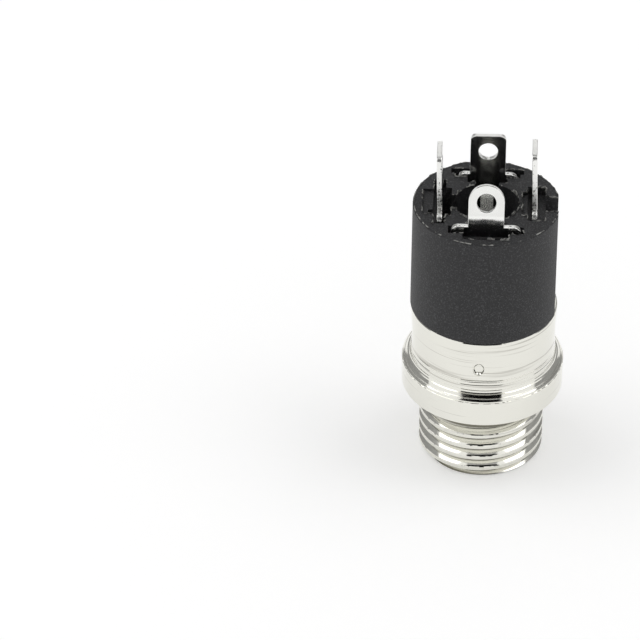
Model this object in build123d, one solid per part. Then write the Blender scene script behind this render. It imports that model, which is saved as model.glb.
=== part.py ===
from build123d import *
from dataclasses import dataclass
from math import atan, cos, radians, sin, tan
import os

# Panel-mounting audio jack socket for a 3.5 mm four-pole plug, with four solder lugs.
# Millimetres. The origin is the centre of the nose's front ring, which the socket stands on. +Z runs
# along the plug's axis, from the mouth to the solder lugs. +X is the side with the flat on the body.

# Plug and fits
plug_d = 3.5
plug_clearance = 0.05  # radial, between plug and bore
moulding_fit = 0.02  # radial, between the mouldings and the shell
sheet_fit = 0.03  # each side of a contact in its slot

# Turned shell: nose, flange and collar
thread_d = 6.97  # over the crests of the panel thread
nose_length = 4.4
nose_chamfer = 0.37
mouth_chamfer = 0.38
mouth_clearance = 0.09  # radial, the mouth's lip outside the bore
lip_land = 0.12
flange_t = 1.45
flange_overhang = 0.44  # radial, flange outside the collar
rim_land = 0.04  # flat ring between the flange's edge and the cove
edge_break = 0.05
collar_d = 8.12
collar_length = 3.85
collar_wall = 0.4
cup_depth = 3.15  # from the collar's rim to the shoulder inside it

# Punched dimples that stake the collar
dimple_count = 4
dimple_d = 0.56
dimple_floor_d = 0.36
dimple_depth = 0.25
dimple_from_rim = 1.7

# Front liner
liner_length = 2.0

# Insulator body
body_length = 6.6  # the black length behind the collar
body_step = 0.02  # radial, body outside the collar
body_draft = 0.45  # degrees
body_edge = 0.06
axial_gap = 0.05
bore_entry = 0.08  # chamfer at the front of the body's bore
flat_from_axis = 3.9

# Contacts, stamped from one sheet
sheet_t = 0.28
contact_from_axis = 2.57  # middle of the sheet at the rear face
front_shoulders = 3.8  # widths over the shoulders
back_shoulders = 3.3
left_shoulders = 3.8
right_shoulders = 2.9
shoulder_height = 0.3  # above the rear face
back_shoulder_height = 0.2  # the back contact sits a little deeper
shoulder_corner = 0.4
leg_depth = 3.0  # below the rear face
leg_root = 0.9  # where legs and arm part, below the rear face
leg_slit = 0.08
lug_width = 1.95
lug_corner = 0.3
front_lug = 2.7  # heights of the lugs above the rear face
back_lug = 2.7
left_lug = 3.45
right_lug = 3.75
eye_d = 1.05
eye_from_end = 1.0
lug_lean = 18.0  # degrees that the front lug leans towards the axis
bend_height = 0.9  # where it leans, above the rear face
bend_r = 0.4
arm_width = 0.7
arm_run_in = 1.2  # length over which the arm comes in from the plate
arm_clearance = 0.05  # between the bore and the arm's inner face
preload = 0.15  # radial, how far the plug pushes each bump out
bump_rise = 0.7
bump_corner = 0.28  # inner radius of the arm's bends
tail_length = 0.75
tail_from_bore = 0.1  # the arm's end, inner face outside the bore
sleeve_bump = 3.9  # depths of the four bumps behind the mouth
second_ring_bump = 6.4
ring_bump = 9.1
tip_bump = 12.1

# Slots that hold the contacts, each with a wider mouth at the rear face and a window towards the bore
channel_width = 1.3
window_width = 2.2
left_window = 2.6
window_lip = 0.12  # left between the bore and each window
window_depth = 2.0
channel_wall = 0.25  # tube wall left outside a channel
arm_flex = 0.17  # room for the arm's end to spring out
slot_end_gap = 0.1
mouth_side = 0.2  # slot mouth beyond the sheet's faces
mouth_end = 0.15  # slot mouth beyond the shoulders
mouth_depth = 0.5
cut_over = 1.0  # how far cuts run out of the body

# Recesses in the rear face: front and back reliefs, the left shelf with its pocket, the notch in the flat,
# and the bridge that closes the right slot towards the bore
front_relief_width = 2.5
front_relief_t = 0.54
front_relief_depth = 1.2
back_relief_width = 4.0
back_relief_t = 0.29
back_relief_depth = 0.9
shelf_t = 0.58
shelf_width = 2.3
shelf_depth = 0.14
pocket_t = 0.26
pocket_width = 0.55
pocket_depth = 0.8
notch_t = 0.68
notch_width = 1.3
notch_depth = 1.2
apron_depth = 0.45  # sunk strip between the right slot and the notch
apron_width = 3.1
bridge_step = 0.2  # below the rear face
bridge_t = 0.45


@dataclass
class Contact:
    """What tells one contact and its slot from the others."""

    facing: float  # degrees from +X
    bump: float  # depth of its bump behind the mouth
    lug: float  # height of its lug above the rear face
    shoulders: float  # width over its shoulders
    window: float  # width of its window
    raised: float = shoulder_height  # its shoulders' height above the rear face
    mouth_inside: float = mouth_side  # how far its mouth opens towards the axis
    end_r: float = lug_corner  # corner radius of the lug's end
    lean: float = 0  # degrees that its lug leans towards the axis


CONTACTS = {
    "sleeve_contact": Contact(270, sleeve_bump, front_lug, front_shoulders, window_width,
                              end_r=lug_width / 2, lean=lug_lean),
    "second_ring_contact": Contact(0, second_ring_bump, right_lug, right_shoulders, window_width),
    "ring_contact": Contact(180, ring_bump, left_lug, left_shoulders, left_window),
    "tip_contact": Contact(90, tip_bump, back_lug, back_shoulders, window_width,
                           raised=back_shoulder_height, mouth_inside=sheet_fit),
}

# Radii that follow from the sizes above
plug_r = plug_d / 2
bore_r = plug_r + plug_clearance
lip_r = bore_r + mouth_clearance
mouth_r = lip_r + mouth_chamfer
thread_r = thread_d / 2
tail_r = bore_r + tail_from_bore + sheet_t / 2
channel_r = tail_r + sheet_t / 2 + arm_flex
tube_r = channel_r + channel_wall
well_r = tube_r + moulding_fit
collar_r = collar_d / 2
flange_r = collar_r + flange_overhang
cove_r = flange_overhang - rim_land
cup_r = collar_r - collar_wall
spigot_r = cup_r - moulding_fit
arm_r = bore_r + arm_clearance + sheet_t / 2
slot_out = contact_from_axis + sheet_t / 2 + sheet_fit
slot_in = contact_from_axis - sheet_t / 2 - sheet_fit
mouth_out = contact_from_axis + sheet_t / 2 + mouth_side
window_r = bore_r + window_lip

# Heights that follow
z_lip = mouth_chamfer + lip_land
z_liner_end = z_lip + liner_length
z_flange = nose_length
z_cove = z_flange + flange_t
z_rim = z_cove + collar_length
z_cup = z_rim - cup_depth
z_rear = z_rim + body_length
z_leg_end = z_rear - leg_depth
z_slot_end = z_leg_end - slot_end_gap
z_arm_root = z_rear - leg_root
z_bridge = z_rear - bridge_step - bridge_t


def block(x0, x1, y0, y1, z0, z1):
    """A box between two corners."""
    return Pos((x0 + x1) / 2, (y0 + y1) / 2, (z0 + z1) / 2) * Box(x1 - x0, y1 - y0, z1 - z0)


def turned(outline):
    """The solid that a closed outline of (radius, height) lines sweeps about the axis."""
    return revolve(Plane.XZ * make_face(outline), Axis.Z)


def standing(sketch, width):
    """A side-view sketch of (radius, height) made a plate of this width, centred on the XZ plane."""
    return Plane.XZ * extrude(sketch, amount=width / 2, both=True)


def make_shell():
    """Turned brass shell: chamfered mouth, nose, flange with its cove, and the staked collar."""
    inside = Polyline(
        (collar_r - edge_break, z_rim),
        (cup_r, z_rim),
        (cup_r, z_cup),
        (well_r, z_cup),
        (well_r, z_lip),
        (lip_r, z_lip),
        (lip_r, mouth_chamfer),
        (mouth_r, 0),
        (thread_r - nose_chamfer, 0),
        (thread_r, nose_chamfer),
        (thread_r, z_flange),
        (flange_r - edge_break, z_flange),
        (flange_r, z_flange + edge_break),
        (flange_r, z_cove),
        (flange_r - rim_land, z_cove),
    )
    cove = RadiusArc((flange_r - rim_land, z_cove), (collar_r, z_cove + cove_r), cove_r)
    rim = Polyline(
        (collar_r, z_cove + cove_r),
        (collar_r, z_rim - edge_break),
        (collar_r - edge_break, z_rim),
    )
    shell = turned(inside + cove + rim)
    punch = Pos(collar_r - dimple_depth, 0, z_rim - dimple_from_rim) * Rot(0, 90, 0) * Cone(
        dimple_floor_d / 2, dimple_d - dimple_floor_d / 2, 2 * dimple_depth,
        align=(Align.CENTER, Align.CENTER, Align.MIN),
    )
    for i in range(dimple_count):
        shell -= Rot(0, 0, i * 360 / dimple_count) * punch
    return shell


def make_liner():
    """Black bush behind the mouth, in front of the insulator body's tube."""
    return Pos(0, 0, z_lip) * extrude(Circle(tube_r) - Circle(bore_r), liner_length)


def recess(r0, r1, width, depth, side_shift=0):
    """A pocket sunk into the rear face on the +X side, between two radii."""
    return block(r0, r1, side_shift - width / 2, side_shift + width / 2, z_rear - depth, z_rear + cut_over)


def make_slot(contact):
    """What is cut from the body for one contact: slot, its mouth, the arm's window and its channel."""
    slot_half = contact.shoulders / 2 + slot_end_gap
    slot = block(slot_in, slot_out, -slot_half, slot_half, z_slot_end, z_rear + cut_over)
    mouth_in = contact_from_axis - sheet_t / 2 - contact.mouth_inside
    mouth = recess(mouth_in, mouth_out, contact.shoulders + 2 * mouth_end, mouth_depth)
    bridged = contact.facing == 0
    if bridged:
        channel_top = z_bridge
        window = recess(window_r, mouth_in, contact.window, bridge_step)
    else:
        channel_top = z_rear + cut_over
        window = recess(window_r, slot_in, contact.window, window_depth)
    way_in = block(0, slot_in, -channel_width / 2, channel_width / 2, z_slot_end, channel_top)
    channel_end = contact.bump - tail_length - slot_end_gap
    channel = block(0, channel_r, -channel_width / 2, channel_width / 2, channel_end, channel_top)
    return Rot(0, 0, contact.facing) * (slot + mouth + window + way_in + channel)


def make_recesses():
    """The reliefs, shelf, pocket, apron and notch outside the slots in the rear face."""
    front = recess(mouth_out, mouth_out + front_relief_t, front_relief_width, front_relief_depth)
    back = recess(slot_out, mouth_out + back_relief_t, back_relief_width, back_relief_depth)
    shelf = recess(mouth_out, mouth_out + shelf_t, shelf_width, shelf_depth)
    pocket_shift = (shelf_width - pocket_width) / 2
    pocket = recess(mouth_out, mouth_out + pocket_t, pocket_width, pocket_depth, pocket_shift)
    notch_in = flat_from_axis - notch_t
    notch = recess(notch_in, collar_r + cut_over, notch_width, notch_depth)
    apron = recess(mouth_out, notch_in, apron_width, apron_depth)
    return Rot(0, 0, 270) * front + Rot(0, 0, 90) * back + Rot(0, 0, 180) * (shelf + pocket) + notch + apron


def make_body():
    """Black moulded insulator: tapered body, spigot in the collar, tube in the nose, slots and flat."""
    foot_r = collar_r + body_step
    rear_r = foot_r - body_length * tan(radians(body_draft))
    outline = Polyline(
        (bore_r, z_rear),
        (bore_r, z_liner_end + bore_entry),
        (bore_r + bore_entry, z_liner_end),
        (tube_r, z_liner_end),
        (tube_r, z_cup + axial_gap),
        (spigot_r, z_cup + axial_gap),
        (spigot_r, z_rim),
        (foot_r, z_rim),
        (rear_r, z_rear - body_edge),
        (rear_r - body_edge, z_rear),
        (bore_r, z_rear),
    )
    body = turned(outline)
    body -= block(flat_from_axis, collar_r + 1, -collar_r, collar_r, z_rim, z_rear + 1)
    for contact in CONTACTS.values():
        body -= make_slot(contact)
    return body - make_recesses()


def make_contact(contact):
    """Stamped contact on the +X side, turned to face its own way: lug, shoulders, legs and spring arm."""
    # plate with its two legs, seen from the axis
    height = z_rear + contact.raised - z_leg_end
    plate = Pos(0, z_leg_end + height / 2) * Rectangle(contact.shoulders, height)
    plate = fillet(plate.vertices().group_by(Axis.Y)[-1], shoulder_corner)
    slit = arm_width / 2 + leg_slit
    plate -= Pos(0, (z_leg_end + z_arm_root) / 2) * Rectangle(2 * slit, z_arm_root - z_leg_end)
    piece = Plane.YZ.offset(contact_from_axis - sheet_t / 2) * extrude(plate, sheet_t)

    # solder lug, from inside the plate to its end
    lean = radians(contact.lean)
    bend_z = z_rear + bend_height
    reach = contact.lug - bend_height
    end = (contact_from_axis - reach * sin(lean), bend_z + reach * cos(lean))
    if contact.lean:
        foot = (contact_from_axis, z_arm_root)
        lug_path = FilletPolyline(foot, (contact_from_axis, bend_z), end, radius=bend_r)
    else:
        lug_path = Line((contact_from_axis, z_arm_root), end)
    lug = standing(trace(lug_path, sheet_t), lug_width)
    along = Vector(-sin(lean), 0, cos(lean))
    end_face = lug.faces().sort_by(Axis((0, 0, 0), along))[-1]
    corners = [e for e in end_face.edges() if abs(e.length - sheet_t) < 0.001]
    lug = fillet_edges(lug, corners, min(contact.end_r, lug_width / 2 - 0.01))
    eye = Pos(end[0], 0, end[1]) * Rot(0, -contact.lean, 0) * Pos(0, 0, -eye_from_end) * Rot(0, 90, 0)
    lug -= eye * Cylinder(eye_d / 2, 4 * sheet_t)
    piece += lug

    # spring arm: in from the plate, along its channel, over the bump and back out at the tail
    bump_face_r = plug_r - preload
    bump_r = bump_face_r + sheet_t / 2
    slope = atan((arm_r - bump_r) / bump_rise)
    bump_point = bump_r - bump_corner * (1 / cos(slope) - 1)
    arm_path = FilletPolyline(
        (contact_from_axis, z_arm_root + sheet_t),
        (contact_from_axis, z_arm_root),
        (arm_r, z_arm_root - arm_run_in),
        (arm_r, contact.bump + bump_rise),
        (bump_point, contact.bump),
        (tail_r, contact.bump - tail_length),
        radius=bump_corner,
    )
    piece += standing(trace(arm_path, sheet_t), arm_width)
    return Rot(0, 0, contact.facing) * piece


def fillet_edges(solid, edges, radius):
    """Rounds the given edges of a solid."""
    return solid.fillet(radius, edges)


parts = {"shell": make_shell(), "front_liner": make_liner(), "insulator_body": make_body()}
for name, contact in CONTACTS.items():
    parts[name] = make_contact(contact)

os.makedirs("parts", exist_ok=True)
for name, solid in parts.items():
    export_step(solid, f"parts/{name}.step")
    print(name, round(solid.volume, 3), "mm3")
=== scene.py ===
# %% [markdown]
# A panel-mounting audio jack socket, dressed for its picture.
#
# The socket is about 20 mm tall. It has a turned, nickel-plated shell with a threaded nose, a black
# moulded body that carries the contacts, and four stamped contacts whose solder lugs stand out of the
# rear face. The CAD model already holds every piece at its real size. This lesson adds what CAD leaves
# out: the thread, the small edges that catch light, the dents of the staking, the ragged flash of the
# moulding, and the finishes. The first cell loads the CAD model as a fixed frame. The part's lengths are
# typed in millimetres and turned to Blender's metres by one function. The studio's are in metres.

# %% Load the frame
from math import atan2, cos, exp, pi, radians, sin, tan

import bmesh
import bpy
from mathutils import Matrix, Vector, noise


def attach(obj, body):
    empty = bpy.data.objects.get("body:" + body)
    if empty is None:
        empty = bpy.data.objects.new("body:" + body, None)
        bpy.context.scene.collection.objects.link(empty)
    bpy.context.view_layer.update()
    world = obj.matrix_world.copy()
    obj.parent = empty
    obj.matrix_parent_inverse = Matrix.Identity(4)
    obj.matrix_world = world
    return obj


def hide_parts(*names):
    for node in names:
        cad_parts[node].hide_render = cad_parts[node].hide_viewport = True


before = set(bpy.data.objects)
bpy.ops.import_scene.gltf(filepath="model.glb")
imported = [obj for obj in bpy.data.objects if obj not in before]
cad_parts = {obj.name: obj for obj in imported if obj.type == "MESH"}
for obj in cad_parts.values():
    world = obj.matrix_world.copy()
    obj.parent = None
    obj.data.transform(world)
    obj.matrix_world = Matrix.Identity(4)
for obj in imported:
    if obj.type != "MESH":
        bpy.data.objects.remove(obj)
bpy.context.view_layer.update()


def mm(*values):
    """Millimetres as metres: one number, or a tuple of them."""
    scaled = tuple(v * 0.001 for v in values)
    return scaled[0] if len(scaled) == 1 else scaled


# %% [markdown]
# Sizes of the real socket.
#
# The nose takes a thin nut on a thread of 0.75 mm pitch, and the bore takes a 3.5 mm plug. The heights
# are measured from the front ring that the socket stands on. Nearly all are the sizes of the CAD model,
# so a piece that replaces a CAD node lies where that node is. Two shapes follow the real socket more
# closely than the CAD does: the nose has a smaller chamfer, and a turned cone leads from the flange to
# the collar where the CAD has a plain cove.

# %% Sizes in millimetres
THREAD_R = 3.485
NOSE_CHAMFER = 0.15
PITCH = 0.75
LIP_R = 1.89
MOUTH_R = 2.27
MOUTH_CHAMFER = 0.38
Z_LIP = 0.5
Z_FLANGE = 4.4
Z_BURR = 5.93
Z_CONE = 6.03
CONE_SIDE = 0.27
Z_CUP = 6.55
Z_RIM = 9.7
Z_REAR = 16.3
WELL_R = 2.62
CUP_R = 3.66
COLLAR_R = 4.06
FLANGE_R = 4.5
EDGE_BREAK = 0.05
RIM_BREAK = 0.09
SIDES = 256
print("flange", 2 * FLANGE_R, "mm across, rear face at", Z_REAR, "mm")


# %% [markdown]
# The camera.
#
# The socket was photographed from above and in front, from far away with a long lens, so its upright
# edges stay almost parallel. The camera looks along +Y, a little from the right, and down by 37 degrees.
# Its place and lens come from fitting the ellipses of the flange and of the rear face to their real
# diameters.

# %% Camera
CAMERA_PLACE = mm(0.40, -193.74, 153.37)
CAMERA_TILT = 53.15
CAMERA_TURN = 2.8
LENS = 245.3
SENSOR = 36.0

bpy.ops.object.select_all(action="DESELECT")
bpy.ops.object.camera_add(location=CAMERA_PLACE, rotation=(radians(CAMERA_TILT), 0, radians(CAMERA_TURN)))
camera = bpy.context.object
camera.name = "product_camera"
camera.data.lens = LENS
camera.data.sensor_width = SENSOR
camera.data.clip_start = 0.01
camera.data.clip_end = 20
bpy.context.scene.camera = camera
bpy.context.scene.view_settings.view_transform = "Standard"
print("camera", tuple(round(v, 4) for v in camera.location))


# %% [markdown]
# Colours and nodes.
#
# Colours are picked as sRGB hex codes, the way a paint program shows them, but Blender's shaders want
# linear light. One function turns one into the other. A second one adds a node, sets it up and links it,
# so that each material below reads as a short list of steps.

# %% Colour and node helpers
def linear(code):
    """An sRGB hex code as linear red, green, blue and alpha."""
    parts = [int(code[i:i + 2], 16) / 255 for i in (0, 2, 4)]
    return [c / 12.92 if c <= 0.04045 else ((c + 0.055) / 1.055) ** 2.4 for c in parts] + [1.0]


def add(tree, kind, inputs=None, **settings):
    """Adds a node. Inputs are filled with values or with the outputs of other nodes."""
    node = tree.nodes.new(kind)
    for name, value in settings.items():
        setattr(node, name, value)
    for name, value in (inputs or {}).items():
        if isinstance(value, bpy.types.NodeSocket):
            tree.links.new(value, node.inputs[name])
        else:
            node.inputs[name].default_value = value
    return node


def new_material(name):
    """An empty material with its output and a Principled shader, as (material, tree, shader)."""
    material = bpy.data.materials.new(name)
    material.use_nodes = True
    tree = material.node_tree
    tree.nodes.clear()
    shader = add(tree, "ShaderNodeBsdfPrincipled")
    add(tree, "ShaderNodeOutputMaterial", {"Surface": shader.outputs["BSDF"]})
    return material, tree, shader


def object_coordinates(tree, scale):
    """Object coordinates stretched by a scale, one number for each axis, in patterns for each metre."""
    place = add(tree, "ShaderNodeTexCoord")
    scaled = add(tree, "ShaderNodeMapping", {"Vector": place.outputs["Object"], "Scale": scale})
    return scaled.outputs["Vector"]


def seen_ray(tree):
    """1 for a ray from the camera or from a reflection or through glass, and 0 for light on the part."""
    path = add(tree, "ShaderNodeLightPath")
    seen = add(tree, "ShaderNodeMath", {
        0: path.outputs["Is Camera Ray"], 1: path.outputs["Is Glossy Ray"]}, operation="MAXIMUM")
    return add(tree, "ShaderNodeMath", {0: seen.outputs[0], 1: path.outputs["Is Transmission Ray"]},
               operation="MAXIMUM").outputs[0]


# %% [markdown]
# The studio.
#
# Polished metal has hardly a colour of its own: it shows the room. The real socket stood on a white
# table under two softboxes, left and right overhead, with the dark room and the camera in front. The
# floor is a large white plane that glows faintly where it is seen, so that it reads as white with no
# more light on the part. The world is white where the camera or a reflection meets it, and dimmer as a
# light.

# %% Floor and world
FLOOR_SIDE = 6.0
FLOOR_WHITE = "FCFCFC"
FLOOR_ROUGHNESS = 0.9
FLOOR_GLOW = 0.15
WORLD_LIGHT = 0.62

bpy.ops.mesh.primitive_grid_add(x_subdivisions=4, y_subdivisions=4, size=FLOOR_SIDE)
floor = bpy.context.object
floor.name = "white_table"
floor_paint, floor_tree, floor_shader = new_material("white_table_top")
floor_shader.inputs["Base Color"].default_value = linear(FLOOR_WHITE)
floor_shader.inputs["Roughness"].default_value = FLOOR_ROUGHNESS
floor_shader.inputs["Specular IOR Level"].default_value = 0.0
floor_shader.inputs["Emission Color"].default_value = (1, 1, 1, 1)
glow = add(floor_tree, "ShaderNodeMath", {0: seen_ray(floor_tree), 1: FLOOR_GLOW}, operation="MULTIPLY")
floor_tree.links.new(glow.outputs[0], floor_shader.inputs["Emission Strength"])
floor.data.materials.append(floor_paint)

world = bpy.data.worlds.new("white_room")
bpy.context.scene.world = world
world.use_nodes = True
world.node_tree.nodes.clear()
level = add(world.node_tree, "ShaderNodeMapRange",
            {"Value": seen_ray(world.node_tree), "To Min": WORLD_LIGHT, "To Max": 1.0})
sky = add(world.node_tree, "ShaderNodeBackground",
          {"Color": (1, 1, 1, 1), "Strength": level.outputs["Result"]})
add(world.node_tree, "ShaderNodeOutputWorld", {"Surface": sky.outputs["Background"]})
print("table", FLOOR_SIDE, "m wide, world light", WORLD_LIGHT)

# %% [markdown]
# The softboxes.
#
# Two area lamps hang overhead, one on each side, and face the part. Their white rectangles are what the
# bright blocks on the thread and the collar show, so their place and shape were found from those blocks.
# The energy follows from the radiance of the lamp's face times pi times its area.

# %% Softboxes
SOFTBOX_REACH = 0.75
SOFTBOX_CENTRE = (0.48, 0.03, 0.87)
SOFTBOX_SHORT_WAY = (0.667, 0.667, -0.333)
SOFTBOX_LONG = 0.52
SOFTBOX_SHORT = 0.36
SOFTBOX_RADIANCE = 1.6


def softbox(name, side):
    """A softbox overhead, on the left (-1) or the right (+1), that faces the part."""
    centre, short_way = Vector(SOFTBOX_CENTRE), Vector(SOFTBOX_SHORT_WAY)
    centre.x *= side
    short_way.x *= side
    centre.normalize()
    short_way = (short_way - centre * short_way.dot(centre)).normalized()
    turn = Matrix((short_way.cross(centre), short_way, centre)).transposed().to_euler()
    bpy.ops.object.light_add(type="AREA", location=centre * SOFTBOX_REACH, rotation=turn)
    lamp = bpy.context.object
    lamp.name = name
    lamp.data.shape = "RECTANGLE"
    lamp.data.size = SOFTBOX_LONG
    lamp.data.size_y = SOFTBOX_SHORT
    lamp.data.energy = SOFTBOX_RADIANCE * pi * SOFTBOX_LONG * SOFTBOX_SHORT
    print(lamp.name, tuple(round(v, 2) for v in lamp.location))


softbox("softbox_left", -1)
softbox("softbox_right", 1)

# %% [markdown]
# Cards where the room was dark.
#
# A polished part in an all-white room looks flat. Black cards stand for the dark room in front of and
# behind the part, and grey ones for its dimmer sides and ceiling. They show only in reflections, so
# they throw no shadow and take no light from the part. A corner is given as a direction from the part.

# %% Cards where the room was dark
CARD_REACH = 0.85
CARD_BLACK = "101010"
CARD_DARK_GREY = "ACACAC"
CARD_GREY = "CCCCCC"
FRONT_LOW = (0.48, -0.87, 0.17)
FRONT_TOP = (0.29, -0.4, 0.85)
OVERHEAD = (0.24, 0.01, 0.97)
BACK_TOP = (0.2, 0.63, 0.777)
SIDE_CARD = ((0.98, -0.15, 0.02), (0.6, 0.8, 0.02), (0.81, -0.09, 0.58), (0.42, 0.46, 0.78))
BACK_CARD = ((0.6, 0.8, 0.02), (0.15, 0.98, 0.02), (0.42, 0.46, 0.78), (0.15, 0.73, 0.67))


def card_paint(name, code):
    """Matt card of one colour."""
    material, tree, shader = new_material(name)
    shader.inputs["Base Color"].default_value = linear(code)
    shader.inputs["Roughness"].default_value = 1.0
    shader.inputs["Specular IOR Level"].default_value = 0.0
    return material


def card(name, paint, corners):
    """A card that only reflections see. Its corners are directions from the part."""
    bpy.ops.object.select_all(action="DESELECT")
    bpy.ops.mesh.primitive_plane_add(size=1)
    board = bpy.context.object
    board.name = name
    for vertex, corner in zip(board.data.vertices, corners):
        vertex.co = Vector(corner).normalized() * CARD_REACH
    board.data.materials.append(paint)
    board.visible_camera = False
    board.visible_diffuse = False
    board.visible_shadow = False


def both_sides(*corners):
    """Each corner twice: mirrored to the left, then as it is, on the right."""
    return [(side * x, y, z) for x, y, z in corners for side in (-1, 1)]


black = card_paint("black_card", CARD_BLACK)
dark_grey = card_paint("dark_grey_card", CARD_DARK_GREY)
grey = card_paint("grey_card", CARD_GREY)
card("card_front", black, both_sides(FRONT_LOW, FRONT_TOP))
card("card_zenith", grey, both_sides(FRONT_TOP, OVERHEAD))
card("card_back_high", black, both_sides(OVERHEAD, BACK_TOP))
for side, hand in ((-1, "left"), (1, "right")):
    card("card_side_" + hand, dark_grey, [(side * x, y, z) for x, y, z in SIDE_CARD])
    card("card_back_" + hand, dark_grey, [(side * x, y, z) for x, y, z in BACK_CARD])
print("cards at", CARD_REACH, "m")


# %% [markdown]
# Nickel plate on turned brass.
#
# The shell is turned from brass bar and plated with nickel, which is a little warmer than chrome. The
# plating follows every tool mark, so the surface shows fine rings round the axis. They are made by two
# noises that are squeezed along the axis and stretched round it, a fine and a coarse one, used as bump
# and as thin grey lines. A third noise, even in all directions, makes some spots duller. Shade is painted
# into the colour where little light reaches: the thread's root, the corner under the flange and the foot.
# The distance from the axis and the height, both read from Object coordinates, say where that is. The
# last five ranges below run from painted shade to lit plate, in millimetres.

# %% Nickel plate
NICKEL = "E8E7DF"
NICKEL_LINE = "C6C4BC"
# Painted shade for the thread's root, the corner under the flange and the foot.
NICKEL_PAINTED_SHADE = "807E76"
TURNING_PITCH = 0.09
RING_DEPTH = 0.005
DEEP_PITCH = 0.22
DEEP_DEPTH = 0.01
STREAK_LENGTH = 7.0
SPOT_SIZE = 0.5
LINES_SHOW = (0.27, 0.37)
SPOTS_SHOW = (0.35, 0.75)
ROUGHNESS_OF_SPOTS = (0.06, 0.16)
ROOT_R = 3.16
ROOT_SHARE = 0.5
FROM_ROOT = (0.01, 0.07)
BELOW_THE_GROOVE = (0.35, 0.25)
BELOW_THE_CORNER = (3.5, 3.36)
OUTSIDE_THE_CREST = (THREAD_R + 0.01, THREAD_R + 0.05)
ABOVE_THE_FOOT = (0.03, 0.1)


def nickel_painted_shade(tree):
    """Painted shade: 0 in the corner under the flange and at the foot, half in the thread's root, 1
    elsewhere.
    """
    across = object_coordinates(tree, (1000, 1000, 0))
    upright = object_coordinates(tree, (0, 0, 1000))
    radius = add(tree, "ShaderNodeVectorMath", {0: across}, operation="LENGTH").outputs["Value"]
    height = add(tree, "ShaderNodeVectorMath", {0: upright}, operation="LENGTH").outputs["Value"]
    from_root = add(tree, "ShaderNodeMath", {0: radius, 1: ROOT_R}, operation="SUBTRACT")
    from_root = add(tree, "ShaderNodeMath", {0: from_root.outputs[0]}, operation="ABSOLUTE")
    off_root = add(tree, "ShaderNodeMapRange", {
        "Value": from_root.outputs[0], "From Min": FROM_ROOT[0], "From Max": FROM_ROOT[1],
        "To Min": ROOT_SHARE})
    in_front = add(tree, "ShaderNodeMapRange", {
        "Value": height, "From Min": BELOW_THE_GROOVE[0], "From Max": BELOW_THE_GROOVE[1]})
    under = add(tree, "ShaderNodeMapRange", {
        "Value": height, "From Min": BELOW_THE_CORNER[0], "From Max": BELOW_THE_CORNER[1]})
    outside = add(tree, "ShaderNodeMapRange", {
        "Value": radius, "From Min": OUTSIDE_THE_CREST[0], "From Max": OUTSIDE_THE_CREST[1]})
    foot = add(tree, "ShaderNodeMapRange", {
        "Value": height, "From Min": ABOVE_THE_FOOT[0], "From Max": ABOVE_THE_FOOT[1]})
    root = add(tree, "ShaderNodeMath", {0: off_root.outputs["Result"], 1: in_front.outputs["Result"]},
               operation="MAXIMUM")
    corner = add(tree, "ShaderNodeMath", {0: under.outputs["Result"], 1: outside.outputs["Result"]},
                 operation="MAXIMUM")
    upper = add(tree, "ShaderNodeMath", {0: root.outputs[0], 1: corner.outputs[0]}, operation="MINIMUM")
    return add(tree, "ShaderNodeMath", {0: upper.outputs[0], 1: foot.outputs["Result"]},
               operation="MINIMUM").outputs[0]


def nickel_plate():
    """Nickel-plated turned brass: warm white metal with rings from the cutting tool."""
    material, tree, shader = new_material("nickel_plated_brass")
    along = 1000 / STREAK_LENGTH
    rings = add(tree, "ShaderNodeTexNoise", {
        "Vector": object_coordinates(tree, (along, along, 1000 / TURNING_PITCH)),
        "Scale": 1.0, "Detail": 3.0, "Roughness": 0.6})
    deep = add(tree, "ShaderNodeTexNoise", {
        "Vector": object_coordinates(tree, (along, along, 1000 / DEEP_PITCH)),
        "Scale": 1.0, "Detail": 2.0})
    spots = add(tree, "ShaderNodeTexNoise", {
        "Vector": object_coordinates(tree, (1000 / SPOT_SIZE,) * 3), "Scale": 1.0, "Detail": 4.0})
    fine = add(tree, "ShaderNodeBump", {
        "Height": rings.outputs["Fac"], "Strength": 0.4, "Distance": mm(RING_DEPTH)})
    bump = add(tree, "ShaderNodeBump", {
        "Height": deep.outputs["Fac"], "Strength": 0.3, "Distance": mm(DEEP_DEPTH),
        "Normal": fine.outputs["Normal"]})
    dull = add(tree, "ShaderNodeMapRange", {
        "Value": spots.outputs["Fac"], "From Min": SPOTS_SHOW[0], "From Max": SPOTS_SHOW[1],
        "To Min": ROUGHNESS_OF_SPOTS[0], "To Max": ROUGHNESS_OF_SPOTS[1]})
    lines = add(tree, "ShaderNodeMath", {0: rings.outputs["Fac"], 1: deep.outputs["Fac"]},
                operation="MINIMUM")
    clean = add(tree, "ShaderNodeValToRGB", {"Fac": lines.outputs[0]})
    clean.color_ramp.elements[0].position = LINES_SHOW[0]
    clean.color_ramp.elements[0].color = linear(NICKEL_LINE)
    clean.color_ramp.elements[1].position = LINES_SHOW[1]
    clean.color_ramp.elements[1].color = linear(NICKEL)
    # Painted shade: the base colour is darkened in the thread's root, under the flange and at the foot.
    painted_shade = add(tree, "ShaderNodeValToRGB", {"Fac": nickel_painted_shade(tree)})
    painted_shade.color_ramp.elements[0].color = linear(NICKEL_PAINTED_SHADE)
    both = add(tree, "ShaderNodeVectorMath", {0: clean.outputs["Color"], 1: painted_shade.outputs["Color"]},
               operation="MULTIPLY")
    shader.inputs["Metallic"].default_value = 1.0
    tree.links.new(both.outputs["Vector"], shader.inputs["Base Color"])
    tree.links.new(dull.outputs["Result"], shader.inputs["Roughness"])
    tree.links.new(bump.outputs["Normal"], shader.inputs["Normal"])
    return material


# %% [markdown]
# The black moulding.
#
# The body is a glass-filled plastic, moulded in a tool with a fine spark-eroded grain, so its side is
# matt and slightly speckled: fibre ends show as lighter specks. The grain is finer than a pixel of the
# picture, and is drawn about twice as coarse as the real one so that it shows. Thin flash, which the
# mould squeezes out at its joints, is the same plastic, but it is torn and so it scatters more light.

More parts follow.
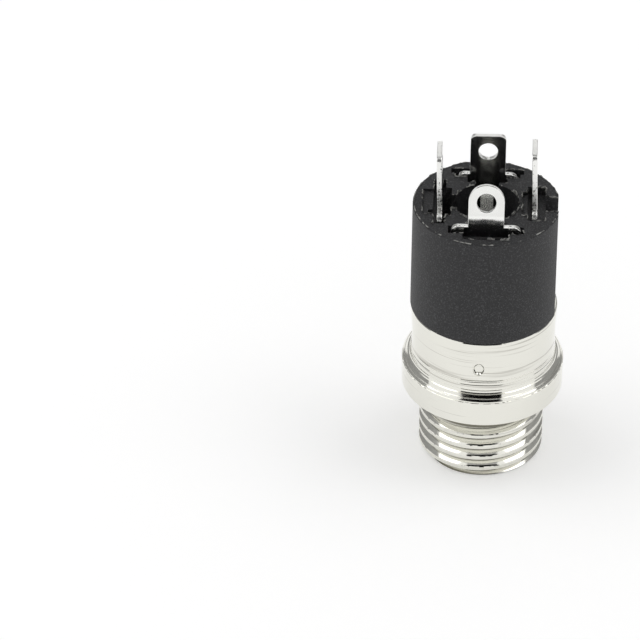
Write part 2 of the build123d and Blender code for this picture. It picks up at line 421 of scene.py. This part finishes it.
# %% Black moulding
MOULDING_BLACK = "161618"
MOULDING_SPECK = "464648"
GRAIN = 0.085
GRAIN_DEPTH = 0.025
SPECKS_SHOW = (0.5, 0.74)
FLASH_DARK = "242424"
FLASH_PALE = "92928E"
FLASH_LENGTH = 0.35
PALE_SHOWS = (0.4, 0.58)


def black_moulding():
    """Glass-filled plastic from a spark-eroded mould: black, matt and speckled."""
    material, tree, shader = new_material("black_filled_plastic")
    grain = add(tree, "ShaderNodeTexNoise", {
        "Vector": object_coordinates(tree, (1000 / GRAIN,) * 3),
        "Scale": 1.0, "Detail": 2.0, "Roughness": 0.6})
    specks = add(tree, "ShaderNodeValToRGB", {"Fac": grain.outputs["Fac"]})
    specks.color_ramp.elements[0].position = SPECKS_SHOW[0]
    specks.color_ramp.elements[0].color = linear(MOULDING_BLACK)
    specks.color_ramp.elements[1].position = SPECKS_SHOW[1]
    specks.color_ramp.elements[1].color = linear(MOULDING_SPECK)
    bump = add(tree, "ShaderNodeBump", {
        "Height": grain.outputs["Fac"], "Strength": 0.6, "Distance": mm(GRAIN_DEPTH)})
    shader.inputs["Roughness"].default_value = 0.6
    tree.links.new(specks.outputs["Color"], shader.inputs["Base Color"])
    tree.links.new(bump.outputs["Normal"], shader.inputs["Normal"])
    return material


def moulding_flash():
    """Torn flash of the same plastic: patchy grey, because thin torn plastic turns pale."""
    material, tree, shader = new_material("torn_plastic_flash")
    patches = add(tree, "ShaderNodeTexNoise", {
        "Vector": object_coordinates(tree, (1000 / FLASH_LENGTH,) * 3), "Scale": 1.0, "Detail": 4.0,
        "Roughness": 0.7})
    colour = add(tree, "ShaderNodeValToRGB", {"Fac": patches.outputs["Fac"]})
    colour.color_ramp.elements[0].position = PALE_SHOWS[0]
    colour.color_ramp.elements[0].color = linear(FLASH_DARK)
    colour.color_ramp.elements[1].position = PALE_SHOWS[1]
    colour.color_ramp.elements[1].color = linear(FLASH_PALE)
    shader.inputs["Roughness"].default_value = 0.7
    tree.links.new(colour.outputs["Color"], shader.inputs["Base Color"])
    return material


# %% [markdown]
# Plated strip.
#
# The contacts are stamped from rolled strip, 0.28 mm thick, and plated white. The faces are nearly
# mirrors with faint rolling lines and slight waves, which make the reflections waver. The cut edges are
# rougher: they are torn and pitted near the body, where the lug is widest, and cleaner above. So the
# strip has two materials, one for its faces and one for its cut edges.

# %% Plated strip
STRIP_WHITE = "F2F2EF"
STRIP_PIT = "5A5A56"
ROLLING_WIDTH = 0.05
ROLLING_LENGTH = 1.5
ROLLING_DEPTH = 0.004
WAVE_LENGTH = 1.1
WAVE_DEPTH = 0.03
PIT_SIZE = 0.13
PIT_DEPTH = 0.03
PITS_SHOW = (0.38, 0.46)
Z_PITTED = 17.9
Z_CLEAN = 18.5
CLEANER = 0.08


def plated_strip():
    """Rolled and plated strip: a near mirror with faint lines and slight waves."""
    material, tree, shader = new_material("plated_strip_face")
    across, along = 1000 / ROLLING_WIDTH, 1000 / ROLLING_LENGTH
    lines = add(tree, "ShaderNodeTexNoise", {
        "Vector": object_coordinates(tree, (across, across, along)), "Scale": 1.0, "Detail": 2.0})
    waves = add(tree, "ShaderNodeTexNoise", {
        "Vector": object_coordinates(tree, (1000 / WAVE_LENGTH,) * 3), "Scale": 1.0, "Detail": 1.0})
    wavy = add(tree, "ShaderNodeBump", {
        "Height": waves.outputs["Fac"], "Strength": 0.5, "Distance": mm(WAVE_DEPTH)})
    bump = add(tree, "ShaderNodeBump", {
        "Height": lines.outputs["Fac"], "Strength": 0.15, "Distance": mm(ROLLING_DEPTH),
        "Normal": wavy.outputs["Normal"]})
    shader.inputs["Base Color"].default_value = linear(STRIP_WHITE)
    shader.inputs["Metallic"].default_value = 1.0
    shader.inputs["Roughness"].default_value = 0.14
    tree.links.new(bump.outputs["Normal"], shader.inputs["Normal"])
    return material


def sheared_edge():
    """The strip's cut edge: plated too, but torn and pitted, most of all near the body."""
    material, tree, shader = new_material("sheared_strip_edge")
    pits = add(tree, "ShaderNodeTexNoise", {
        "Vector": object_coordinates(tree, (1000 / PIT_SIZE,) * 3), "Scale": 1.0, "Detail": 3.0,
        "Roughness": 0.65})
    upright = object_coordinates(tree, (0, 0, 1000))
    height = add(tree, "ShaderNodeVectorMath", {0: upright}, operation="LENGTH")
    clean = add(tree, "ShaderNodeMapRange", {
        "Value": height.outputs["Value"], "From Min": Z_PITTED, "From Max": Z_CLEAN, "To Max": CLEANER})
    filled = add(tree, "ShaderNodeMath", {0: pits.outputs["Fac"], 1: clean.outputs["Result"]})
    colour = add(tree, "ShaderNodeValToRGB", {"Fac": filled.outputs[0]})
    colour.color_ramp.elements[0].position = PITS_SHOW[0]
    colour.color_ramp.elements[0].color = linear(STRIP_PIT)
    colour.color_ramp.elements[1].position = PITS_SHOW[1]
    colour.color_ramp.elements[1].color = linear(STRIP_WHITE)
    bump = add(tree, "ShaderNodeBump", {
        "Height": pits.outputs["Fac"], "Strength": 0.55, "Distance": mm(PIT_DEPTH)})
    shader.inputs["Metallic"].default_value = 1.0
    shader.inputs["Roughness"].default_value = 0.3
    tree.links.new(colour.outputs["Color"], shader.inputs["Base Color"])
    tree.links.new(bump.outputs["Normal"], shader.inputs["Normal"])
    return material


nickel = nickel_plate()
moulding = black_moulding()
flash = moulding_flash()
strip = plated_strip()
sheared = sheared_edge()
print("finishes", [paint.name for paint in (nickel, moulding, flash, strip, sheared)])


# %% [markdown]
# Turning a shape.
#
# A turned part is drawn as half of its section, as (radius, height) points, and swept round the axis.
# Here a circle is extruded ring by ring through those points, and each ring is scaled to its radius. The
# last ring is bridged to the first, which closes the section into a ring-shaped solid.

# %% Turning helpers
def edit(piece):
    """Opens a piece in edit mode with nothing selected."""
    bpy.ops.object.select_all(action="DESELECT")
    piece.select_set(True)
    bpy.context.view_layer.objects.active = piece
    bpy.ops.object.mode_set(mode="EDIT")
    bpy.ops.mesh.select_all(action="DESELECT")


def leave():
    """Goes back to object mode."""
    bpy.ops.object.mode_set(mode="OBJECT")


def arc(centre, radius, start, end, steps):
    """Points on an arc of a section, from one angle to another in degrees."""
    angles = [radians(start + (end - start) * i / steps) for i in range(steps + 1)]
    return [(centre[0] + radius * cos(a), centre[1] + radius * sin(a)) for a in angles]


def rows(radius, start, end, spacing):
    """Evenly spaced points up or down a straight wall, without its two ends."""
    count = max(1, round(abs(end - start) / spacing))
    return [(radius, start + (end - start) * i / count) for i in range(1, count)]


def turned(name, outline):
    """A closed outline of (radius, height) in millimetres, swept round the axis."""
    bpy.ops.object.select_all(action="DESELECT")
    radius, height = outline[0]
    bpy.ops.mesh.primitive_circle_add(vertices=SIDES, radius=mm(radius), location=(0, 0, mm(height)))
    piece = bpy.context.object
    piece.name = name
    bpy.ops.object.transform_apply(location=True)
    bpy.ops.object.mode_set(mode="EDIT")
    bpy.ops.mesh.select_all(action="SELECT")
    for r, z in outline[1:]:
        bpy.ops.mesh.extrude_region_move(TRANSFORM_OT_translate={"value": (0, 0, mm(z - height))})
        bpy.ops.transform.resize(value=(r / radius, r / radius, 1), center_override=(0, 0, mm(z)))
        radius, height = r, z
    bpy.ops.mesh.select_all(action="DESELECT")
    bpy.ops.mesh.select_mode(type="EDGE")
    bpy.ops.mesh.select_non_manifold()
    bpy.ops.mesh.bridge_edge_loops()
    bpy.ops.mesh.select_all(action="SELECT")
    bpy.ops.mesh.normals_make_consistent(inside=False)
    leave()
    return piece


def apply_modifier(piece, kind, **settings):
    """Adds a modifier with its settings and applies it."""
    bpy.ops.object.select_all(action="DESELECT")
    piece.select_set(True)
    bpy.context.view_layer.objects.active = piece
    bpy.ops.object.modifier_add(type=kind)
    modifier = piece.modifiers[-1]
    for name, value in settings.items():
        setattr(modifier, name, value)
    bpy.ops.object.modifier_apply(modifier=modifier.name)


def cut(piece, cutter):
    """Takes a cutter out of a piece and removes the cutter."""
    apply_modifier(piece, "BOOLEAN", operation="DIFFERENCE", solver="EXACT", object=cutter)
    bpy.data.objects.remove(cutter)


def smooth(piece, angle):
    """Smooth shading that keeps edges sharper than the angle in degrees."""
    bpy.ops.object.select_all(action="DESELECT")
    piece.select_set(True)
    bpy.context.view_layer.objects.active = piece
    bpy.ops.object.shade_smooth_by_angle(angle=radians(angle))


def uneven(point, size, seed):
    """A smooth random value from -1 to 1 at a point, that changes over a size in millimetres."""
    return noise.noise(point * (1000 / size) + Vector((seed, 0, 0)))


def finish(piece, slot, *nodes):
    """Makes a piece ride on the part and hides the CAD nodes that it stands for. The slot is not used."""
    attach(piece, "root")
    if nodes:
        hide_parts(*nodes)
    print(piece.name, len(piece.data.polygons), "faces")


# %% [markdown]
# The threaded shell.
#
# The shell is one turned part: a nose with a chamfered mouth, a short flange with a burred upper edge, a
# turned cone of 45 degrees with one fine step, a fillet, and a thin collar that holds the body. Its
# sharp corners are drawn with small slopes, because a real tool never leaves a perfect corner and the
# eye looks for the glint there. A few fine grooves run round the collar's foot. The walls of the collar
# get extra rows of points, which the dents below need.

# %% The shell's outline
RINGS = ((6.5, 0.015), (6.84, 0.02), (7.03, 0.012), (7.14, 0.016))
RING_HALF_WIDTH = 0.028
CUP_ROWS = 0.3
COLLAR_ROWS = 0.13
LIP_BREAK = 0.03
SOFT = 0.02
NOSE_SOFT = 0.015
FILLET_R = 0.2
FILLET_RISE = 0.15
CONE_INSET = 0.05
CONE_HOLLOW = 0.008
ACROSS_45 = 0.7
# The burred edge, as steps in from the flange's side and up from Z_BURR.
BURR = ((0, -0.18), (0, -0.02), (0.01, 0), (0.03, 0.005), (0.035, 0.08))
# The cone, as shares of its length and heights over it. The raised points are the fine step.
CONE = ((0, 0), (0.17, 0), (0.32, 0), (0.35, 0.011), (0.41, 0.011), (0.47, 0), (0.65, 0), (0.82, 0),
        (0.97, 0))

shell_outline = [(COLLAR_R - RIM_BREAK, Z_RIM), (CUP_R, Z_RIM)]
shell_outline += rows(CUP_R, Z_RIM, Z_CUP, CUP_ROWS)
shell_outline += [
    (CUP_R, Z_CUP),
    (WELL_R, Z_CUP),
    (WELL_R, Z_LIP),
    (LIP_R + LIP_BREAK, Z_LIP),
    (LIP_R, Z_LIP - LIP_BREAK),
    (LIP_R, MOUTH_CHAMFER + SOFT),
    (LIP_R + SOFT, MOUTH_CHAMFER - SOFT),
    (MOUTH_R - SOFT, SOFT),
    (MOUTH_R + SOFT, 0),
    (THREAD_R - NOSE_CHAMFER - SOFT, 0),
    (THREAD_R - NOSE_CHAMFER + NOSE_SOFT, NOSE_SOFT),
    (THREAD_R - NOSE_SOFT, NOSE_CHAMFER - NOSE_SOFT),
    (THREAD_R, NOSE_CHAMFER + SOFT),
    (THREAD_R, Z_FLANGE),
    (FLANGE_R - EDGE_BREAK, Z_FLANGE),
    (FLANGE_R, Z_FLANGE + EDGE_BREAK),
]
shell_outline += [(FLANGE_R - inwards, Z_BURR + up) for inwards, up in BURR]
for share, lift in CONE:
    out = ACROSS_45 * (lift - 4 * CONE_HOLLOW * share * (1 - share))
    shell_outline.append((FLANGE_R - CONE_INSET - share * CONE_SIDE + out,
                          Z_CONE + share * CONE_SIDE + out))
fillet_centre = (COLLAR_R + FILLET_R, Z_CONE + CONE_SIDE + FILLET_RISE)
shell_outline += arc(fillet_centre, FILLET_R, start=222, end=180, steps=6)
for ring_z, ring_depth in RINGS:
    shell_outline += [(COLLAR_R, ring_z - RING_HALF_WIDTH), (COLLAR_R - ring_depth, ring_z),
                      (COLLAR_R, ring_z + RING_HALF_WIDTH)]
shell_outline += rows(COLLAR_R, RINGS[-1][0] + RING_HALF_WIDTH, Z_RIM - RIM_BREAK, COLLAR_ROWS)
shell_outline += [
    (COLLAR_R, Z_RIM - RIM_BREAK),
    (COLLAR_R - 0.3 * RIM_BREAK, Z_RIM - 0.5 * RIM_BREAK),
]
shell = turned("threaded_shell", shell_outline)
print(shell.name, len(shell_outline), "points in its outline")

# %% [markdown]
# Dents.
#
# Four punch marks stake the collar to the body. Each stands in a broad, shallow dent, because the thin
# wall gives way round the punch. The left one is the deepest and shows at the outline. The points of the
# collar's wall are moved in by a bell-shaped amount, and those inside the wall by half as much.

# %% Dents in the collar
Z_DIMPLE = Z_RIM - 1.83
DENTS = ((0, 0.08), (90, 0.1), (180, 0.2), (270, 0.1))
DENT_REACH = 0.7
DENT_TALL = 1.0
INSIDE_SHARE = 0.5
WALL_SLACK = 0.02


def dent(angle, z):
    """How far the collar's wall is pushed in at an angle in degrees and a height."""
    depth = 0
    for place, deepest in DENTS:
        along = COLLAR_R * radians((angle - place + 180) % 360 - 180)
        depth += deepest * exp(-((along / DENT_REACH) ** 2 + ((z - Z_DIMPLE) / DENT_TALL) ** 2))
    return depth


for vertex in shell.data.vertices:
    z, r = vertex.co.z * 1000, vertex.co.xy.length * 1000
    if z > Z_CUP and r > CUP_R - WALL_SLACK:
        share = 1 if r > (CUP_R + COLLAR_R) / 2 else INSIDE_SHARE
        angle = atan2(vertex.co.y, vertex.co.x) * 180 / pi
        vertex.co.xy *= 1 - share * dent(angle, z) / r
print("deepest dent", max(d for _, d in DENTS), "mm")

# %% [markdown]
# The thread.
#
# The thread is a groove cut along a helix. Its cutter is a small section, shaped in edit mode and swept
# by a Screw modifier: a narrow root, flanks that are steep at the root and a little flatter towards the
# crest, and a small slope over each crest edge. The groove runs out just under the flange, where the
# real tool is pulled back.

# %% The thread's groove
THREAD_DEPTH = 0.34
ROOT_WIDTH = 0.08
ROOT_SLAB = 0.02
FLANK = 30.0
FLANK_AT_CREST = 36.0
STEEP_SHARE = 0.45
CREST_SLOPE = 0.04
CREST_STEP = 0.6 * CREST_SLOPE
CREST_WIDENING = (1.0, 2.5)
GROOVE_AT_FRONT = 1.68
TURNS_BELOW = 4
CUTTER_OUT = 0.3
CUTTER_WIDENING = 0.05
RUN_OUT_TURNS = 0.2
FLANGE_GAP = 0.02


def groove_cutter():
    """The thread's groove as a closed helical bar that runs out just under the flange."""
    root = THREAD_R - THREAD_DEPTH
    slab_middle = root + ROOT_SLAB / 2
    start = GROOVE_AT_FRONT - TURNS_BELOW * PITCH
    bpy.ops.object.select_all(action="DESELECT")
    bpy.ops.mesh.primitive_plane_add(size=1, rotation=(0, radians(90), 0))
    cutter = bpy.context.object
    cutter.name = "groove_cutter"
    bpy.ops.object.transform_apply(rotation=True)
    bpy.ops.object.mode_set(mode="EDIT")
    bpy.ops.mesh.select_all(action="SELECT")
    bpy.ops.transform.resize(value=(1, mm(ROOT_SLAB), mm(ROOT_WIDTH)))
    bpy.ops.transform.translate(value=mm(0, -slab_middle, start))
    bpy.ops.mesh.select_all(action="DESELECT")
    bpy.ops.mesh.select_mode(type="EDGE")
    mesh = bmesh.from_edit_mesh(cutter.data)
    for edge in mesh.edges:
        edge.select = all(v.co.y < -mm(slab_middle) for v in edge.verts)
    bmesh.update_edit_mesh(cutter.data)
    width = ROOT_WIDTH
    flank_out = THREAD_DEPTH - ROOT_SLAB - CREST_SLOPE
    for out, widening in ((STEEP_SHARE * flank_out, tan(radians(FLANK))),
                          ((1 - STEEP_SHARE) * flank_out, tan(radians(FLANK_AT_CREST))),
                          (CREST_STEP, CREST_WIDENING[0]), (CREST_STEP, CREST_WIDENING[1]),
                          (CUTTER_OUT, CUTTER_WIDENING)):
        wider = width + 2 * out * widening
        bpy.ops.mesh.extrude_region_move(TRANSFORM_OT_translate={"value": mm(0, -out, 0)})
        bpy.ops.transform.resize(value=(1, 1, wider / width), center_override=mm(0, 0, start))
        width = wider
    bpy.ops.mesh.select_all(action="SELECT")
    bpy.ops.mesh.delete(type="ONLY_FACE")
    bpy.ops.mesh.select_all(action="SELECT")
    mesh = bmesh.from_edit_mesh(cutter.data)
    # The rungs between the two sides go, and the root and the outer end of the section stay.
    inner = [e for e in mesh.edges if abs(e.verts[0].co.y - e.verts[1].co.y) < mm(0.001)]
    inner = [e for e in inner if mm(slab_middle) < -e.verts[0].co.y < mm(THREAD_R + CUTTER_OUT / 2)]
    bmesh.ops.delete(mesh, geom=inner, context="EDGES")
    bmesh.update_edit_mesh(cutter.data)
    leave()

    full_depth_end = Z_FLANGE - FLANGE_GAP - width / 2
    steps = round(SIDES * ((full_depth_end - start) / PITCH + RUN_OUT_TURNS))
    apply_modifier(cutter, "SCREW", axis="Z", angle=2 * pi * steps / SIDES, steps=steps,
                   render_steps=steps, screw_offset=mm(PITCH * steps / SIDES), use_merge_vertices=False)
    section = len(cutter.data.vertices) // (steps + 1)
    run_out_steps = round(SIDES * RUN_OUT_TURNS)
    for i, vertex in enumerate(cutter.data.vertices):
        late = i // section - (steps - run_out_steps)
        if late > 0:
            vertex.co.xy *= 1 + late / run_out_steps * THREAD_DEPTH / root
    edit(cutter)
    bpy.ops.mesh.select_mode(type="EDGE")
    bpy.ops.mesh.select_non_manifold()
    bpy.ops.mesh.fill_holes(sides=0)
    bpy.ops.mesh.select_all(action="SELECT")
    bpy.ops.mesh.normals_make_consistent(inside=False)
    leave()
    print("groove cutter", len(cutter.data.polygons), "faces,", section, "points in its section")
    return cutter


cut(shell, groove_cutter())

# %% [markdown]
# Staking dimples.
#
# The punch leaves a small hole with a soft lip, a wall of about 60 degrees and a flat floor in the middle
# of each dent. It is a little taller than wide. The punches stand 2.4 degrees round from the contacts.

# %% Staking dimples
DIMPLE_HALF = 0.29
DIMPLE_TALL = 1.25
DIMPLE_TURN = 2.4
# The punch's section, as shares of DIMPLE_HALF and heights over the collar's wall.
PUNCH = ((1.2, 0.08), (1.1, 0.0), (1.03, -0.01), (0.99, -0.02), (0.83, -0.109), (0.74, -0.125),
         (0.66, -0.128))


def dimple_punch(turn, surface):
    """A punch lying across the collar's wall at a turn in degrees: its section is given by PUNCH."""
    share, height = PUNCH[0]
    bpy.ops.object.select_all(action="DESELECT")
    bpy.ops.mesh.primitive_circle_add(vertices=40, radius=mm(share * DIMPLE_HALF), fill_type="NGON",
                                      location=(0, 0, mm(height)))
    punch = bpy.context.object
    bpy.ops.object.transform_apply(location=True)
    bpy.ops.object.mode_set(mode="EDIT")
    bpy.ops.mesh.select_all(action="SELECT")
    for wider, z in PUNCH[1:]:
        bpy.ops.mesh.extrude_region_move(TRANSFORM_OT_translate={"value": (0, 0, mm(z - height))})
        bpy.ops.transform.resize(value=(wider / share, wider / share, 1), center_override=(0, 0, mm(z)))
        share, height = wider, z
    bpy.ops.mesh.select_all(action="SELECT")
    bpy.ops.transform.resize(value=(DIMPLE_TALL, 1, 1), center_override=(0, 0, 0))
    bpy.ops.mesh.normals_make_consistent(inside=False)
    leave()
    punch.rotation_euler = (0, radians(90), radians(turn))
    punch.location = mm(surface * cos(radians(turn)), surface * sin(radians(turn)), Z_DIMPLE)
    bpy.context.view_layer.update()
    return punch


for place, deepest in DENTS:
    cut(shell, dimple_punch(place - DIMPLE_TURN, COLLAR_R - deepest))
print("dimples", len(DENTS), "at", Z_DIMPLE, "mm")

# %% [markdown]
# Worn and torn edges.
#
# A thread cut in brass tears a little at its crests, and the flange's edge has knocks from the tray it
# was plated in. Points near those edges are moved by a random amount that changes along the edge.

# %% Worn edges
TEAR_OUT = 0.018
TEAR_ALONG = 0.03
TEAR_LENGTH = 0.09
CREST_SLACK = 0.005
CREST_ENDS = 0.05
KNOCK = 0.035
KNOCK_LENGTH = 0.3
KNOCK_DETAIL = 0.12
KNOCK_BAND = 0.03
RIM_WEAR = 0.008
RIM_WEAR_LENGTH = 0.15
SHELL_CREASE = 14

for vertex in shell.data.vertices:
    z, r = vertex.co.z * 1000, vertex.co.xy.length * 1000
    if abs(r - THREAD_R) < CREST_SLACK and NOSE_CHAMFER + CREST_ENDS < z < Z_FLANGE - CREST_ENDS:
        tear = uneven(vertex.co, TEAR_LENGTH, 3)
        vertex.co.z += mm(TEAR_ALONG * tear)
        vertex.co.xy *= 1 + TEAR_OUT * tear / r
    elif r > FLANGE_R - KNOCK_BAND and Z_BURR - KNOCK_BAND < z < Z_BURR + KNOCK_BAND / 3:
        knock = max(0, uneven(vertex.co, KNOCK_LENGTH, 7) + 0.5 * uneven(vertex.co, KNOCK_DETAIL, 9))
        vertex.co.xy *= 1 - KNOCK * knock / r
        vertex.co.z -= mm(KNOCK * knock)
    elif r > COLLAR_R - 0.5 * RIM_BREAK and z > Z_RIM - 1.2 * RIM_BREAK:
        wear = uneven(vertex.co, RIM_WEAR_LENGTH, 5)
        vertex.co.xy *= 1 + RIM_WEAR * wear / r
smooth(shell, SHELL_CREASE)
shell.data.materials.append(nickel)
finish(shell, "nickel_plate", "shell")


# %% [markdown]
# The contacts.
#
# Each contact is one stamping, and the CAD solids have their true shape already. A punch rounds the edges
# that it enters and leaves the others sharp and torn, so here a merged copy of each CAD solid gets small
# rounded edges where it can be seen, and its cut edges get the rougher material. A copy is used because
# the CAD pieces themselves are never changed. The two side lugs were bent a touch to the left, so they
# lean by 1.4 degrees.

# %% Rounded copies of the contacts
ROUNDING = 0.03
ROUNDED_ABOVE = Z_REAR - 0.4
SHARP = 30
CONTACT_CREASE = 20
EDGE_ON = 0.5
LEAN = tan(radians(1.4))
Z_LEAN = 18.0
CONTACTS = {
    "sleeve_contact": ("round_lug_contact", (0, -1, 0), 0),
    "second_ring_contact": ("right_lug_contact", (1, 0, 0), LEAN),
    "ring_contact": ("left_lug_contact", (-1, 0, 0), LEAN),
    "tip_contact": ("square_lug_contact", (0, 1, 0), 0),
}


def merged_copy(node_name, name):
    """A copy of a CAD node whose loose triangles are joined and whose flat faces are whole."""
    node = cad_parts[node_name]
    piece = bpy.data.objects.new(name, node.data.copy())
    bpy.context.scene.collection.objects.link(piece)
    piece.data.materials.clear()
    edit(piece)
    bpy.ops.mesh.select_all(action="SELECT")
    bpy.ops.mesh.remove_doubles(threshold=mm(0.0005))
    bpy.ops.mesh.dissolve_limited(angle_limit=radians(1))
    leave()
    return piece


def contact(node_name, name, facing, lean):
    """A stamped contact with rounded edges and rough cut edges."""
    piece = merged_copy(node_name, name)
    facing = Vector(facing)
    edit(piece)
    bpy.ops.mesh.select_mode(type="EDGE")
    mesh = bmesh.from_edit_mesh(piece.data)
    for edge in mesh.edges:
        if len(edge.link_faces) == 2 and all(v.co.z > mm(ROUNDED_ABOVE) for v in edge.verts):
            edge.select = edge.calc_face_angle() > radians(SHARP)
    bmesh.update_edit_mesh(piece.data)
    bpy.ops.mesh.bevel(offset=mm(ROUNDING), segments=2, affect="EDGES", clamp_overlap=True)
    leave()
    for vertex in piece.data.vertices:
        if vertex.co.z > mm(Z_REAR):
            vertex.co.x += lean * (mm(Z_LEAN) - vertex.co.z)
    piece.data.materials.append(strip)
    piece.data.materials.append(sheared)
    for face in piece.data.polygons:
        is_cut_edge = abs(face.normal.dot(facing)) < EDGE_ON and face.center.z > mm(ROUNDED_ABOVE)
        face.material_index = 1 if is_cut_edge else 0
    smooth(piece, CONTACT_CREASE)
    finish(piece, "plated_strip", node_name)


for contact_node, settings in CONTACTS.items():
    contact(contact_node, *settings)


# %% [markdown]
# Flash on the moulding.
#
# Where the mould's cores met its end plate, plastic crept into the joint and left a thin, torn fin round
# each slot and along the rim. It is a hair high, but it catches the light, and it is what makes the rear
# face look moulded. The fins start as a copy of the rear face's edges. They are divided, broken where
# the flash has fallen off, extruded upwards by an uneven height, and given their thickness by a Solidify
# modifier.

# %% Flash fins
FIN_STEP = 0.1
FIN_HEIGHT = 0.2
FIN_LEAST = 0.004
FIN_GAP = -0.12
FIN_ROOT = 0.012
FIN_THICK = 0.05
FIN_RUN = 0.45
FIN_DETAIL = 0.13
DETAIL_SHARE = 0.9
FIN_SWAY = 0.12
SWAY_LENGTH = 0.15
RIM_FROM = 3.8
RIM_SHARE = 0.35
LEVEL_SLACK = 0.003
FACES_UP = 0.99
FACES_ASIDE = 0.8


def fin_share(point):
    """How tall the flash stands at a point, about -1 to 1. Under FIN_GAP it has broken off."""
    return uneven(point, FIN_RUN, 11) + DETAIL_SHARE * uneven(point, FIN_DETAIL, 13)


fins = merged_copy("insulator_body", "body_flash")
edit(fins)
bpy.ops.mesh.select_mode(type="EDGE")
mesh = bmesh.from_edit_mesh(fins.data)
for edge in mesh.edges:
    on_rear_face = all(abs(v.co.z - mm(Z_REAR)) < mm(LEVEL_SLACK) for v in edge.verts)
    ups = sorted(face.normal.z for face in edge.link_faces)
    edge.select = on_rear_face and len(ups) == 2 and ups[1] > FACES_UP and ups[0] < FACES_ASIDE
bmesh.update_edit_mesh(fins.data)
bpy.ops.mesh.duplicate()
bpy.ops.mesh.select_all(action="INVERT")
bpy.ops.mesh.delete(type="VERT")
mesh = bmesh.from_edit_mesh(fins.data)
while max(e.calc_length() for e in mesh.edges) > mm(FIN_STEP):
    for edge in mesh.edges:
        edge.select = edge.calc_length() > mm(FIN_STEP)
    bmesh.update_edit_mesh(fins.data)
    bpy.ops.mesh.subdivide(number_cuts=1)
    mesh = bmesh.from_edit_mesh(fins.data)
broken_off = [v for v in mesh.verts if fin_share(v.co) < FIN_GAP]
bmesh.ops.delete(mesh, geom=broken_off, context="VERTS")
bmesh.update_edit_mesh(fins.data)
bpy.ops.mesh.select_all(action="SELECT")
bpy.ops.mesh.delete_loose(use_verts=True, use_edges=False, use_faces=False)
bpy.ops.mesh.select_all(action="SELECT")
bpy.ops.transform.translate(value=(0, 0, -mm(FIN_ROOT)))
bpy.ops.mesh.extrude_region_move(TRANSFORM_OT_translate={"value": (0, 0, mm(FIN_ROOT + FIN_LEAST))})
leave()
for vertex in fins.data.vertices:
    if vertex.co.z > mm(Z_REAR - FIN_ROOT / 2):
        on_rim = vertex.co.xy.length > mm(RIM_FROM)
        vertex.co.z += mm(FIN_HEIGHT) * max(0, fin_share(vertex.co)) * (RIM_SHARE if on_rim else 1)
        if not on_rim:
            vertex.co.x += mm(FIN_SWAY) * uneven(vertex.co, SWAY_LENGTH, 17)
            vertex.co.y += mm(FIN_SWAY) * uneven(vertex.co, SWAY_LENGTH, 19)
apply_modifier(fins, "SOLIDIFY", thickness=mm(FIN_THICK), offset=0)
edit(fins)
bpy.ops.mesh.select_all(action="SELECT")
bpy.ops.mesh.normals_make_consistent(inside=False)
leave()
fins.data.materials.append(flash)
finish(fins, "black_moulding")

# %% [markdown]
# The pieces that stay as they are.
#
# The front liner and the body have their true shape in the CAD model, so only their finish is put on.

# %% CAD nodes that keep their shape
for moulded in ("front_liner", "insulator_body"):
    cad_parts[moulded].data.materials.clear()
    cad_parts[moulded].data.materials.append(moulding)
    print(moulded, "is", moulding.name)
